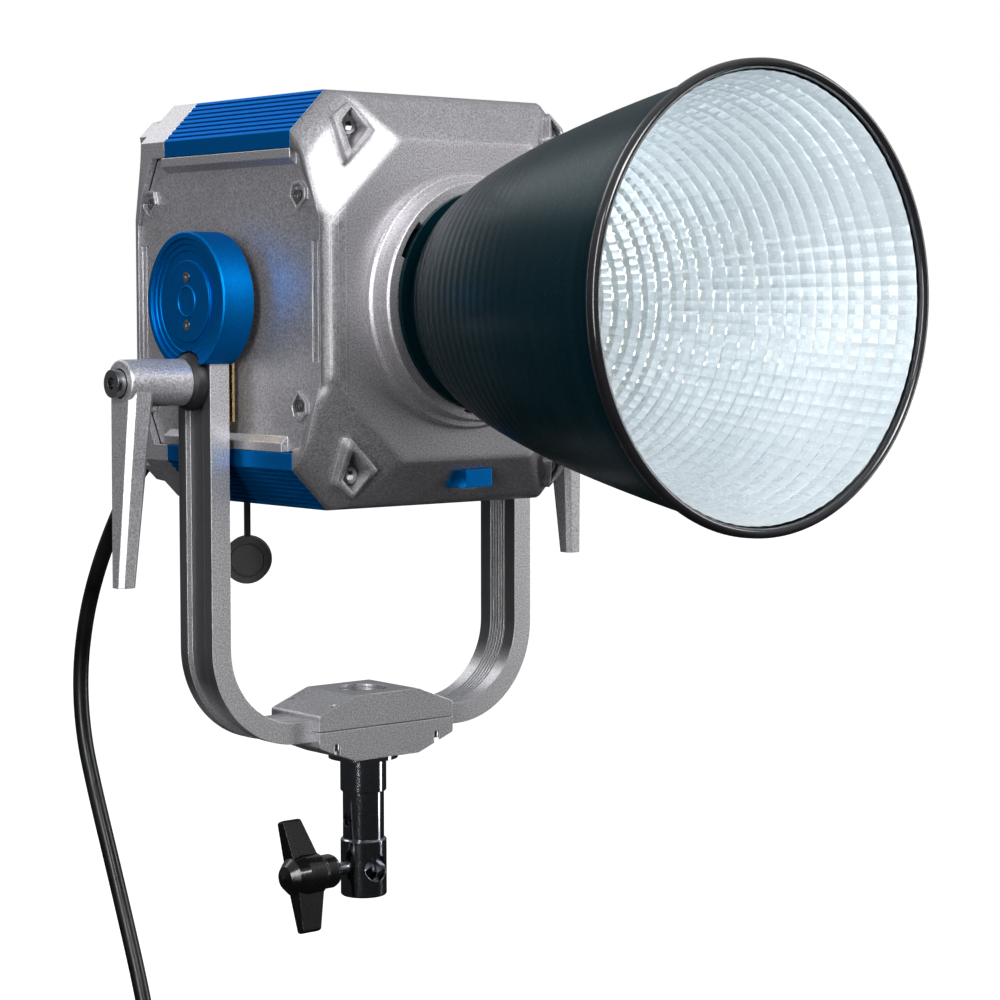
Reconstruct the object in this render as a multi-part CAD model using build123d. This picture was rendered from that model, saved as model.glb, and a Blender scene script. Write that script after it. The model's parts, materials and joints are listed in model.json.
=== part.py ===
"""LED spotlight head with a bell reflector on a U-yoke. Millimetres, +Z up, beam along -Y.

The origin is the mouth of the stand socket. Everything on the lamp head is laid out about the
tilt pivot and raised by PIVOT_Z when it is written.
"""
import os
from math import atan2, copysign, cos, hypot, pi, radians, sin, sqrt, tan

from build123d import *

os.makedirs("parts", exist_ok=True)

# ---- driving dimensions -------------------------------------------------------------------------
PIVOT_Z = 366.0         # tilt pivot above the socket's mouth

HEAD_W = 103.0          # half width of the lamp head over the blue shells
HEAD_H = 119.5          # half height
HEAD_CUT = 24.0         # 45 degree corner cut
SHELL_T = 4.0
SHELL_FRONT = -72.0
SHELL_BACK = 58.0
BAND_Z = 86.0           # where the shells stop and the side covers start
COVER_X = 98.5          # outer face of the side covers
COVER_T = 3.0
COVER_OUTLINE = [(-72, 86), (72, 86), (82.5, 66.5), (92, 46), (92, -46), (82.5, -66.5), (72, -86),
                 (-62, -86), (-80, -82), (-84, -72), (-99.5, -46), (-99.5, 46), (-84, 72), (-80, 82)]
COVER_GAP = 0.4         # open line between a side cover and the bezels
NOSE_FRONT = -102.0     # flat middle of the front bezel
SEAT_FRONT = -84.0      # seats of the front and rear corner screws
SEAT_BACK = 92.5
REAR_FACE = 98.0
SCREW_X = 75.0          # the four corner screws and their tie rods
SCREW_Z = 98.6

RING_R = 74.0           # accessory mount, three-lug bayonet
RING_BACK = -102.0
RING_FRONT = -108.0
PLATE_R = 69.5
PLATE_FRONT = -118.0
OPENING_R = 58.8
LUG_R = 64.0
LUG_ANGLES = (27.0, 147.0, 267.0)
LOCK_TURN = 30.0

MOUTH_Y = -347.5        # reflector
MOUTH_R = 121.6
NECK_R = 56.0
BELL_T = 1.6

ARM_X = 121.3           # yoke strip: outer face, thickness, half width
ARM_T = 13.0
ARM_Y = 17.0
BEND_R = 60.0
YOKE_BOTTOM = -263.5
HUB_R = 40.4
HUB_X = 127.0
CLAMP_Z = -46.6         # clamping bolt below the pivot
SHAFT_R = 8.0

PIN_R = 14.3            # 1-1/8 inch spigot, 5/8 inch socket
PIN_NECK_R = 12.8
SOCKET_R = 8.1
SOCKET_DEPTH = 60.0
KNOB_Z = 18.0
PAD_CLEAR = 0.4         # the pad rests this far outside the bore

CABLE_X = -14.0         # head cable
CABLE_R = 5.5
SOCKET_Z = -94.0
COIL_IN = 46.3          # put-away coil, four turns wide and two deep: inner and outer radius
COIL_OUT = 69.0
COIL_HALF = 28.2
COIL_X = 8.6
COIL_Y = 170.0
COIL_Z = -565.0
# route of the hanging stretch about the pivot, (y, z), from the boot to the coil
CABLE_ROUTE = [
    (168.0, -94.0),
    (200.0, -94.0),
    (232.0, -111.5),
    (261.0, -145.0),
    (286.0, -180.0),
    (305.0, -218.0),
    (315.0, -261.0),
    (311.5, -304.0),
    (295.5, -344.0),
    (276.0, -386.0),
    (257.5, -427.0),
    (240.5, -466.0),
    (227.0, -504.0),
    (222.0, -528.0),
]


# ---- helpers ------------------------------------------------------------------------------------
def save(name, shape):
    export_step(shape, f"parts/{name}.step")


def save_head(name, shape):
    """Writes a piece drawn about the tilt pivot, each solid moved up to the stand's frame."""
    moved = [Pos(0, 0, PIVOT_Z) * solid for solid in shape.solids()]
    save(name, moved[0] if len(moved) == 1 else Compound(children=moved))


def save_pair(name, left):
    """Writes a piece of the left (-X) side and its mirror image."""
    save_head(name + "_left", left)
    save_head(name + "_right", mirror(left, about=Plane.YZ))


def both_sides(*left):
    """Group of the left side's pieces and their mirror images."""
    pieces = [s for piece in left for s in piece.solids()]
    return Compound(children=pieces + [mirror(s, about=Plane.YZ) for s in pieces])


def box(x0, x1, y0, y1, z0, z1):
    centre = Pos((x0 + x1) / 2, (y0 + y1) / 2, (z0 + z1) / 2)
    return centre * Box(abs(x1 - x0), abs(y1 - y0), abs(z1 - z0))


def rod(axis, r, a, b, at=(0.0, 0.0)):
    """Cylinder along an axis from a to b. at gives the other two coordinates, in XYZ order."""
    turn = {"x": Rot(0, 90, 0), "y": Rot(90, 0, 0), "z": Rot(0, 0, 0)}[axis]
    mid = (a + b) / 2
    spot = {"x": (mid, at[0], at[1]), "y": (at[0], mid, at[1]), "z": (at[0], at[1], mid)}[axis]
    return Pos(*spot) * turn * Cylinder(r, abs(b - a))


def pipe(axis, outer, inner, a, b, at=(0.0, 0.0)):
    low, high = min(a, b), max(a, b)
    return rod(axis, outer, low, high, at) - rod(axis, inner, low - 1, high + 1, at)


def hex_rod(axis, across, a, b, at=(0.0, 0.0)):
    """Hexagonal bar, for nuts and for the sockets in screw heads."""
    turn = {"x": Rot(0, 90, 0), "y": Rot(90, 0, 0), "z": Rot(0, 0, 0)}[axis]
    mid = (a + b) / 2
    spot = {"x": (mid, at[0], at[1]), "y": (at[0], mid, at[1]), "z": (at[0], at[1], mid)}[axis]
    length = abs(b - a)
    bar = extrude(RegularPolygon(across / 2, 6, major_radius=False), length)
    return Pos(*spot) * turn * Pos(0, 0, -length / 2) * bar


def face_y(points, y):
    """Flat face at one y from (x, z) points."""
    return make_face(Polyline(*[(x, y, z) for x, z in points], close=True))


def face_x(points, x):
    """Flat face at one x from (y, z) points."""
    return make_face(Polyline(*[(x, y, z) for y, z in points], close=True))


def slab_y(points, y0, y1):
    low, high = min(y0, y1), max(y0, y1)
    return extrude(face_y(points, low), high - low, dir=(0, 1, 0))


def slab_x(points, x0, x1):
    """Plate with its outline in (y, z), from x0 to x1."""
    low, high = min(x0, x1), max(x0, x1)
    return extrude(face_x(points, low), high - low, dir=(1, 0, 0))


def octagon(w, h, c):
    return [(-w, -h + c), (-w, h - c), (-w + c, h), (w - c, h),
            (w, h - c), (w, -h + c), (w - c, -h), (-w + c, -h)]


def turned_y(profile):
    """Solid of revolution about the beam axis from (radius, y) points."""
    face = make_face(Polyline(*[(r, y, 0) for r, y in profile], close=True))
    return revolve(face, Axis.Y)


def turned_x(profile, y=0.0, z=0.0):
    """Solid of revolution about an axis parallel to X from (radius, x) points."""
    face = make_face(Polyline(*[(x, r, 0) for r, x in profile], close=True))
    return Pos(0, y, z) * revolve(face, Axis.X)


def corner_spots():
    return [(sx * SCREW_X, sz * SCREW_Z) for sx in (-1, 1) for sz in (-1, 1)]


def cap_screw(axis, r, a, b, at, socket):
    """Screw head with a hexagon socket. a is the seat and b the outer face."""
    depth = (b - a) * 0.55
    return rod(axis, r, a, b, at) - hex_rod(axis, socket, b - depth, b + (b - a) * 0.1, at)


# ---- lamp head: casing --------------------------------------------------------------------------
def shell(sign):
    """Blue ribbed extrusion that wraps the top (+1) or the bottom (-1) of the head."""
    outer = [(-HEAD_W, BAND_Z), (-HEAD_W, HEAD_H - HEAD_CUT), (-HEAD_W + HEAD_CUT, HEAD_H),
             (HEAD_W - HEAD_CUT, HEAD_H), (HEAD_W, HEAD_H - HEAD_CUT), (HEAD_W, BAND_Z)]
    w, h, c = HEAD_W - SHELL_T, HEAD_H - SHELL_T, HEAD_CUT - SHELL_T * (2 - sqrt(2))
    inner = [(w, BAND_Z), (w, h - c), (w - c, h), (-w + c, h), (-w, h - c), (-w, BAND_Z)]
    body = slab_y([(x, sign * z) for x, z in outer + inner], SHELL_FRONT, SHELL_BACK)
    rib_count = 8
    edge = HEAD_CUT * sqrt(2)
    middle = (HEAD_W - HEAD_CUT / 2, HEAD_H - HEAD_CUT / 2)
    for side in (-1, 1):
        for k in range(rib_count):
            along = (k + 0.5) / rib_count * (edge - 2) - (edge - 2) / 2
            x = side * (middle[0] + along / sqrt(2))
            z = sign * (middle[1] - along / sqrt(2))
            groove = Rot(0, 45 * side * sign, 0) * Box(1.5, SHELL_BACK - SHELL_FRONT + 2, 2.4)
            body -= Pos(x, (SHELL_BACK + SHELL_FRONT) / 2, z) * groove
    for k in range(-8, 9):
        x = k * 8.5
        body -= box(x - 1.2, x + 1.2, SHELL_FRONT - 1, SHELL_BACK + 1,
                    sign * (HEAD_H - 1.5), sign * (HEAD_H + 1))
    return body


# slanting faces of the front casting, three (x, y, z) points each: left upper corner, top, left side
CORNER_FACETS = [
    ((-HEAD_W, SHELL_FRONT, 95.5), (-79, SHELL_FRONT, HEAD_H), (-75.5, -81, 116)),
    ((-99.5, -81, 92), (-75.5, -81, 116), (-69, -85, 116.4)),
    ((-94.2, -85, 92.5), (-68.8, -85, 116.3), (-51.4, NOSE_FRONT, 93.8)),
    ((-94.2, -85, 92.5), (-86.6, NOSE_FRONT, 54.8), (-HEAD_W, -99.5, 46)),
]
TOP_FACETS = [
    ((-79, SHELL_FRONT, HEAD_H), (79, SHELL_FRONT, HEAD_H), (0, -84, 116.5)),
    ((-50, -84, 116.5), (50, -84, 116.5), (0, NOSE_FRONT, 91.5)),
]
SIDE_FACET = ((-HEAD_W, -99.5, 46), (-HEAD_W, -99.5, -46), (-98.5, NOSE_FRONT, 0))

# corner pockets, (x, z) sizes from the middle of the head
FRONT_RIM = [(73.7, 112), (64.5, 95.5), (83.6, 77), (85, 103.5)]
FRONT_WELL = [(74, 109), (68, 96.5), (80.5, 83.5), (82, 101)]
REAR_RIM = [(93.4, 91.8), (94.9, 100.4), (85.6, 109.6), (74, 112.5), (61, 99), (74, 83)]
REAR_WELL = [(85, 93.5), (86, 100), (81, 105.5), (74.5, 108), (66, 98.8), (74.5, 89)]


def beyond(a, b, c, inset):
    """Everything outside the plane through three points of the head's skin, moved in by inset."""
    a, b, c = Vector(*a), Vector(*b), Vector(*c)
    out = (b - a).cross(c - a).normalized()
    if out.dot(a - Vector(0, -60, 0)) < 0:
        out = -out
    return Plane(origin=a - out * inset, z_dir=out) * Pos(0, 0, 150) * Box(500, 500, 300)


def front_form(start, inset):
    """Faceted front of the head from start forwards, with all its faces moved in by inset."""
    form = slab_y(octagon(HEAD_W - inset, HEAD_H - inset, HEAD_CUT - inset * (2 - sqrt(2))),
                  start, NOSE_FRONT + inset)
    for sz in (-1, 1):
        for facet in TOP_FACETS:
            form -= beyond(*[(x, y, sz * z) for x, y, z in facet], inset)
        for sx in (-1, 1):
            for facet in CORNER_FACETS:
                form -= beyond(*[(-sx * x, y, sz * z) for x, y, z in facet], inset)
    for sx in (-1, 1):
        form -= beyond(*[(-sx * x, y, z) for x, y, z in SIDE_FACET], inset)
    return form


def corner_outline(points, x, z):
    """Pocket outline turned into the corner that (x, z) lies in."""
    return [(copysign(px, x), copysign(pz, z)) for px, pz in points]


def front_bezel():
    body = front_form(SHELL_FRONT, 0) - front_form(SHELL_FRONT + 1, SHELL_T)
    body -= rod("y", RING_R - 2, NOSE_FRONT + 6, NOSE_FRONT - 4)
    body += pipe("y", RING_R + 1.8, 57.6, NOSE_FRONT, NOSE_FRONT + 4)
    for side in (-1, 1):
        # two raised rails down each side
        for x0, z0, x1, z1, y in ((97.6, 43, 92.4, 47.5, -103.4), (92.4, 47.5, 86.8, 52.5, -102.7)):
            body += slab_y([(side * x0, z0), (side * x1, z1), (side * x1, -z1), (side * x0, -z0)],
                           NOSE_FRONT + 2, y)
        # the side covers lap over the bezel's flanks
        body -= slab_x(COVER_OUTLINE, side * (COVER_X - COVER_T), side * (HEAD_W + 2))
    for x, z in corner_spots():
        facet = [(copysign(px, x), py, copysign(pz, z)) for px, py, pz in CORNER_FACETS[2]]
        body += slab_y(corner_outline(FRONT_RIM, x, z), -77, -112) - beyond(*facet, -4.5)
        body -= slab_y(corner_outline(FRONT_WELL, x, z), SEAT_FRONT, -112)
        body += rod("y", 7.5, SHELL_FRONT - 0.5, SEAT_FRONT, (x, z))
        body -= rod("y", 2.7, SHELL_FRONT + 1, SEAT_FRONT - 4, (x, z))
        body -= rod("y", 5.3, SEAT_FRONT, SEAT_FRONT - 14, (x, z))
    # lug of the latch's spring, slot for the latch and window for its pin
    body += box(-14.5, -12.6, SHELL_FRONT, -96, -99, -91)
    body -= box(2.5, 19, SHELL_FRONT + 1, -100, -107.4, -101.6)
    return body - box(9, 21.5, NOSE_FRONT - 1, NOSE_FRONT + 5, -64, -57)


def rear_bezel():
    body = slab_y(octagon(HEAD_W, HEAD_H, HEAD_CUT), SHELL_BACK, 84)
    quarter = [(HEAD_W, 50), (HEAD_W, HEAD_H - HEAD_CUT), (HEAD_W - HEAD_CUT, HEAD_H)]
    smaller = [(98.6, 50), (94.5, 87), (70.5, 110.5)]
    back = loft([face_y([(sx * x, sz * z) for sx, sz, pts in (
        (1, 1, outline), (-1, 1, outline[::-1]), (-1, -1, outline), (1, -1, outline[::-1]))
        for x, z in pts], y) for outline, y in ((quarter, 84), (smaller, REAR_FACE))], ruled=True)
    body += back
    body -= slab_y(octagon(HEAD_W - 4, HEAD_H - 4, HEAD_CUT - 2), SHELL_BACK - 1, 84)
    body -= slab_y(octagon(HEAD_W - 14, HEAD_H - 14, HEAD_CUT), 80, REAR_FACE - 4)
    body -= rod("y", 63, 80, REAR_FACE + 1, (0, 12))
    body -= rod("y", 12.2, 80, REAR_FACE + 1, (CABLE_X, SOCKET_Z))
    for x, z in corner_spots():
        body += slab_y(corner_outline(REAR_RIM, x, z), 84, REAR_FACE)
        body -= slab_y(corner_outline(REAR_WELL, x, z), SEAT_BACK, REAR_FACE + 1)
        body += rod("y", 7.5, SHELL_BACK + 0.5, SEAT_BACK, (x, z))
        body -= rod("y", 2.7, SHELL_BACK - 1, REAR_FACE + 1, (x, z))
    for side in (-1, 1):
        body -= slab_x(COVER_OUTLINE, side * (COVER_X - COVER_T), side * (HEAD_W + 2))
    return body


COVER_SCREWS = [(-74, 59), (78.5, 59), (-74, -59), (78.5, -59)]
# pocket round a cover screw, outwards along the head and upwards
COVER_POCKET = [(-4.2, 7.2), (3.3, 8.5), (8.5, 4), (8.5, -2), (0.9, -8.5), (-6.5, 0)]


def cover_pocket(y, z, scale, depth, height):
    """Prism over a cover screw from depth below the left cover's face to height above it."""
    outline = [(y + copysign(scale, y) * a, z + copysign(scale, z) * b) for a, b in COVER_POCKET]
    return slab_x(outline, -COVER_X + depth, -COVER_X - height)


def side_cover():
    """Left side cover: a plate with raised top and bottom rims and a pocketed screw at each corner."""
    inside = offset(face_x(COVER_OUTLINE, -COVER_X), -COVER_GAP)
    body = extrude(inside, COVER_T - 0.05, dir=(1, 0, 0))
    for sign in (-1, 1):
        rim = [(-COVER_X + 1, 76.8), (-COVER_X, 76.8), (-HEAD_W, 80.5), (-HEAD_W, 85.6),
               (-COVER_X + 1, 85.6)]
        front = SHELL_FRONT + COVER_GAP if sign > 0 else -61.5
        body += slab_y([(x, sign * z) for x, z in rim], front, 61.5)
    keep = extrude(inside, 2.2, dir=(-1, 0, 0))
    for y, z in COVER_SCREWS:
        body += cover_pocket(y, z, 1.0, 0, 2.2) & keep
        body -= cover_pocket(y, z, 0.8, 1.2, 4)
        body -= rod("x", 2.1, -COVER_X + 5, -COVER_X, (y, z))
    # long pressed recesses near both ends, each with two grooves
    for y, half in ((-90, 34), (87.8, 34)):
        body -= box(-COVER_X + 0.8, -COVER_X - 2, y - 4.6, y + 3.6, -half, half)
        for groove in (y - 1.6, y + 2.6):
            body -= box(-COVER_X + 2.2, -COVER_X, groove - 0.8, groove + 0.8, -half, half)
    body -= rod("x", SHAFT_R + 1.2, -COVER_X - 3, -COVER_X + 5)
    return body


def head_screws():
    """Socket screws of the four corners, front and back, and of the side covers."""
    screws = []
    for x, z in corner_spots():
        screws.append(cap_screw("y", 4.9, SEAT_FRONT, SEAT_FRONT - 5, (x, z), 5.0)
                      + rod("y", 2.6, SHELL_FRONT + 0.2, SEAT_FRONT, (x, z)))
        screws.append(cap_screw("y", 4.9, SEAT_BACK, SEAT_BACK + 5, (x, z), 5.0)
                      + rod("y", 2.6, SHELL_BACK - 0.2, SEAT_BACK, (x, z)))
    for side in (-1, 1):
        for y, z in COVER_SCREWS:
            seat, face = side * (COVER_X - 1.2), side * (COVER_X + 1.4)
            screws.append(cap_screw("x", 3.6, seat, face, (y, z), 3.0)
                          + rod("x", 2.0, side * (COVER_X - 8), seat, (y, z)))
    return Compound(children=screws)


def tie_rods():
    return Compound(children=[rod("y", 5.0, SHELL_FRONT + 0.3, SHELL_BACK - 0.3, spot)
                              for spot in corner_spots()])


def rear_grille():
    """Round guard over the fan: rings joined by eight spokes."""
    back = REAR_FACE - 1.5
    guard = pipe("y", 62.8, 58, back - 2.5, back, (0, 12))
    for k in range(4):
        guard += pipe("y", 15 + 11.5 * k, 12.5 + 11.5 * k, back - 2.5, back, (0, 12))
    for k in range(8):
        spoke = Rot(0, 45 * k, 0) * box(12.6, 60, back - 2.5, back, -1.4, 1.4)
        guard += Pos(0, 0, 12) * spoke
    return guard


# ---- lamp head: accessory mount and latch --------------------------------------------------------
def wedge_y(angle, half, r, y0, y1):
    """Sector of a disc round the beam axis, used for lugs and notches."""
    points = [(0.0, 0.0)]
    for k in range(5):
        a = radians(angle - half + 2 * half * k / 4)
        points.append((r * 1.06 * cos(a), r * 1.06 * sin(a)))
    return slab_y(points, y0, y1) & rod("y", r, y0, y1)


def mount_ring():
    ring = pipe("y", RING_R, 66.5, RING_BACK, RING_FRONT)
    edge = [e for e in ring.edges().filter_by(GeomType.CIRCLE)
            if e.radius > 70 and e.center().Y < RING_FRONT + 0.5]
    return chamfer(edge, 1.6)


def bayonet_plate():
    plate = pipe("y", PLATE_R, OPENING_R, RING_FRONT, PLATE_FRONT)
    edge = [e for e in plate.edges().filter_by(GeomType.CIRCLE)
            if e.radius > 60 and e.center().Y < PLATE_FRONT + 0.5]
    plate = chamfer(edge, 1.2)
    for angle in LUG_ANGLES:
        plate -= wedge_y(angle, 10.5, LUG_R + 0.9, RING_FRONT + 1, PLATE_FRONT - 1)
    return plate


def trim_ring():
    """Sloped ring inside the mount that carries the cover glass."""
    return turned_y([(57.4, -98), (57.4, -95), (33, -91), (33, -93.6), (36.4, -93.6), (36.4, -97)])


def release_latch():
    """Blue sliding button over the lower facet, with a ramped left end."""
    skin = [(-97.8, -98), (-90.2, -108.6)]
    block = face_x(skin + [(-99.8, -108.6), (-99.8, -98)], 1.2)
    low_end = face_x(skin + [(-91.2, -108.6), (-98.8, -98)], -7.0)
    button = extrude(block, 19.5, dir=(1, 0, 0))
    return button + loft([low_end, block]) + box(9, 18, -95, -75.5, -106.4, -102.6)


def latch_slider():
    """Flat slide behind the bezel with the lock pin that drops behind a lug."""
    plate = box(6, 34, -75.5, -74, -107, -84)
    plate += box(14, 22, -75.5, -74, -84.2, -58)
    pin = rod("y", 2.4, -75.4, -103.2, (18, -60.5))
    return plate + pin


def latch_spring():
    path = Helix(2.6, 17.2, 2.0, center=(0, 0, 0), direction=(1, 0, 0))
    start = path @ 0
    section = Plane(origin=start, z_dir=path % 0) * Circle(0.4)
    return Pos(-12.0, -73.3, -95) * sweep(section, path=path)


# ---- lamp head: light engine, cooling and electronics ---------------------------------------------
FIN_PITCH = 8.0         # of the cooling fins


def heat_sink():
    """Finned block with the round core that carries the LED to the front."""
    body = box(-84, 84, -60, -52, -78, 78) + rod("y", 40, -59, -84)
    for k in range(-10, 11):
        x = k * FIN_PITCH
        body += box(x - 0.8, x + 0.8, -52.5, 20, -76, 76)
    return body


def heat_pipes():
    pipes = []
    for x in (-36, -12, 12, 36):
        path = FilletPolyline((x, 10, -64), (x, -46.5, -64), (x, -46.5, 64), (x, 10, 64),
                              radius=14)
        section = Plane(origin=path @ 0, z_dir=path % 0) * Circle(2.9)
        pipes.append(sweep(section, path=path))
    return Compound(children=pipes)


def cob_led():
    """Chip-on-board LED: ceramic board with the round emitter on its face."""
    return box(-27, 27, -84, -86, -27, 27) + rod("y", 19, -85.9, -87)


def cob_holder():
    frame = box(-32, 32, -84, -88.5, -32, 32) - box(-27.2, 27.2, -83, -86.1, -27.2, 27.2)
    return frame - rod("y", 22, -83, -90)


def cover_glass():
    return rod("y", 36.2, -93.8, -96.6)


FAN_Z = 12.0
FAN_FRONT, FAN_BACK = 30.0, 55.0


def fan_frame():
    frame = box(-60, 60, FAN_FRONT, FAN_BACK, FAN_Z - 60, FAN_Z + 60)
    frame -= rod("y", 57.5, FAN_FRONT - 1, FAN_BACK + 1, (0, FAN_Z))
    for sx in (-1, 1):
        for sz in (-1, 1):
            frame -= rod("y", 2.2, FAN_FRONT - 1, FAN_BACK + 1, (sx * 52.5, FAN_Z + sz * 52.5))
    frame += rod("y", 19, FAN_FRONT, FAN_FRONT + 3, (0, FAN_Z))
    for k in range(4):
        strut = Rot(0, 45 + 90 * k, 0) * box(17, 59, FAN_FRONT, FAN_FRONT + 3, -2, 2)
        frame += Pos(0, 0, FAN_Z) * strut
    return frame + rod("y", 3.0, FAN_FRONT + 2, FAN_BACK - 6, (0, FAN_Z))


def fan_rotor():
    low, high = FAN_FRONT + 3.6, FAN_BACK - 1.5
    hub = rod("y", 20, low, high) - rod("y", 3.05, low - 1, high - 3)
    for k in range(7):
        blade = Rot(0, 0, 32) * box(-1.0, 1.0, -10, 10, 18, 55)
        hub += Rot(0, 360 / 7 * k, 0) * Pos(0, (low + high) / 2, 0) * blade
    keep = rod("y", 55.5, low, high) - rod("y", 3.05, low - 1, high - 3)
    return Pos(0, 0, FAN_Z) * (hub & keep)


def driver_board():
    board = box(-60, 60, -46, 50, -99, -97.4)
    for x, y, w, d, h in ((-45, -20, 22, 16, 9), (-12, 14, 26, 20, 8), (30, -14, 18, 18, 10),
                          (50, 24, 12, 22, 7), (-50, 30, 14, 14, 9)):
        board += box(x - w / 2, x + w / 2, y - d / 2, y + d / 2, -97.5, -97.4 + h)
    return board


def pivot_block():
    """Bearing block bolted behind the left side cover; it carries the pivot shaft."""
    return box(-95.2, -86, -26, 26, -26, 26) - rod("x", SHAFT_R, -96, -85)


def panel_socket():
    """Rear inlet: flange, threaded barrel and pin insert."""
    at = (CABLE_X, SOCKET_Z)
    flange = box(CABLE_X - 15, CABLE_X + 15, REAR_FACE, REAR_FACE + 2.4,
                 SOCKET_Z - 15, SOCKET_Z + 15) - rod("y", 10, REAR_FACE - 1, REAR_FACE + 4, at)
    barrel = pipe("y", 12, 10, REAR_FACE - 16, REAR_FACE + 14, at)
    insert = rod("y", 10.05, REAR_FACE - 16, REAR_FACE - 4, at)
    return flange + barrel + insert


# ---- reflector ------------------------------------------------------------------------------------
def bell_radius(t):
    """Outer radius of the bell, t from 0 at the neck to 1 at the mouth."""
    return NECK_R + 4 + (MOUTH_R - 3.6 - NECK_R - 4) * t ** 0.60


def reflector_bell():
    start_y, end_y = -128.0, MOUTH_Y + 2.5
    stations = [0.0, 0.03, 0.09, 0.2, 0.36, 0.56, 0.78, 1.0]
    outer = [(bell_radius(t), start_y + (end_y - start_y) * t) for t in stations]
    inner = [(r - BELL_T, y) for r, y in outer]
    with BuildPart() as bell:
        with BuildSketch(Plane.XY):
            with BuildLine():
                Line((NECK_R - 2.0, start_y + 6), (NECK_R, start_y + 6))
                Line((NECK_R, start_y + 6), outer[0])
                Spline(*outer)
                Line(outer[-1], (MOUTH_R, MOUTH_Y + 3.5))
                Line((MOUTH_R, MOUTH_Y + 3.5), (MOUTH_R, MOUTH_Y))
                Line((MOUTH_R, MOUTH_Y), (MOUTH_R - 3.4, MOUTH_Y))
                Line((MOUTH_R - 3.4, MOUTH_Y), inner[-1])
                Spline(*inner)
                Line(inner[0], (NECK_R - 2.0, start_y + 6))
            make_face()
        revolve(axis=Axis.Y)
    return bell.part


def reflector_collar():
    """Steel collar with the three bayonet lugs, in the locked position."""
    collar = pipe("y", OPENING_R - 1.3, OPENING_R - 3.3, -103.6, -120)
    collar += pipe("y", 63.0, OPENING_R - 5.8, -119, -122)
    for angle in LUG_ANGLES:
        lug = wedge_y(angle + LOCK_TURN, 9, LUG_R, -104.2, -107.4)
        collar += lug - rod("y", OPENING_R - 2, -100, -110)
    return collar


# ---- yoke -----------------------------------------------------------------------------------------
def u_block(inset, y0, y1, top):
    """Solid block with the yoke's rounded outer line, moved in by inset."""
    x, bottom = ARM_X - inset, YOKE_BOTTOM + inset
    block = box(-x, x, y0, y1, bottom, top)
    edges = [e for e in block.edges().filter_by(Axis.Y) if e.center().Z < bottom + 1]
    return fillet(edges, BEND_R - inset)


def u_strip(inset, thickness, y0, y1, top):
    """U-shaped strip whose outer line is the yoke's, moved in by inset."""
    return u_block(inset, y0, y1, top) - u_block(inset + thickness, y0 - 1, y1 + 1, top + 1)


def yoke_arch():
    top = 21.0
    strip = u_strip(0, ARM_T, -ARM_Y, ARM_Y, top)
    strip -= u_strip(-1, 4.2, -9.0, 9.0, top)             # channel in the outer face
    for k in range(6):
        y = -6.5 + 2.6 * k
        strip -= u_strip(ARM_T - 1.1, 2.5, y - 0.6, y + 0.6, top + 1)
    keep = rod("x", ARM_Y, -ARM_X - 1, ARM_X + 1, (0, top - ARM_Y))
    keep += box(-ARM_X - 1, ARM_X + 1, -ARM_Y - 1, ARM_Y + 1, YOKE_BOTTOM - 1, top - ARM_Y)
    strip &= keep
    for side in (-1, 1):
        strip += pipe("x", 14.5, 10.4, side * (ARM_X - 3.5), side * ARM_X)
        strip -= rod("x", 10.5, side * (ARM_X - ARM_T - 1), side * (ARM_X + 1))
        strip -= rod("x", 4.4, side * (ARM_X - ARM_T - 1), side * (ARM_X + 1), (0, CLAMP_Z))
        for z in (-14.0, 14.0):
            strip -= rod("x", 1.9, side * (ARM_X - 8), side * (ARM_X + 1), (0, z))
    return strip - rod("z", 8.3, YOKE_BOTTOM - 1, YOKE_BOTTOM + ARM_T + 1)


BASE_SPLIT = -257.0
BASE_TOP = -237.0
BASE_BOTTOM = -277.0
BASE_X = 51.0
BASE_Y = 25.0
BASE_BOLTS = [(sx * 38, sy * 21.4) for sx in (-1, 1) for sy in (-1, 1)]


def base_half(sign):
    """Upper (+1) or lower (-1) half of the block that clamps the bottom of the yoke."""
    end_z, far_z = BASE_SPLIT + sign * 9.6, BASE_SPLIT + sign * 20.0
    side = [(-BASE_X, BASE_SPLIT + sign * 0.25), (-BASE_X, end_z), (-24, far_z), (24, far_z),
            (BASE_X, end_z), (BASE_X, BASE_SPLIT + sign * 0.25)]
    half = slab_y(side, -BASE_Y, BASE_Y)
    upright = half.edges().filter_by(Axis.Y)
    half = chamfer([e for e in upright if abs(e.center().Z - BASE_SPLIT) > 5], 0.8)
    half -= box(-BASE_X - 1, BASE_X + 1, -ARM_Y, ARM_Y, YOKE_BOTTOM, YOKE_BOTTOM + ARM_T)
    half -= rod("z", 8.3, BASE_BOTTOM - 1, BASE_TOP + 1)
    if sign > 0:
        half -= rod("z", 15, BASE_TOP - 9, BASE_TOP + 1)
    for spot in BASE_BOLTS:
        half -= rod("z", 2.1, BASE_BOTTOM - 1, BASE_TOP + 1, spot)
        if sign < 0:
            half -= rod("z", 4.0, BASE_BOTTOM - 1, BASE_SPLIT - 8, spot)
    return half


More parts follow.
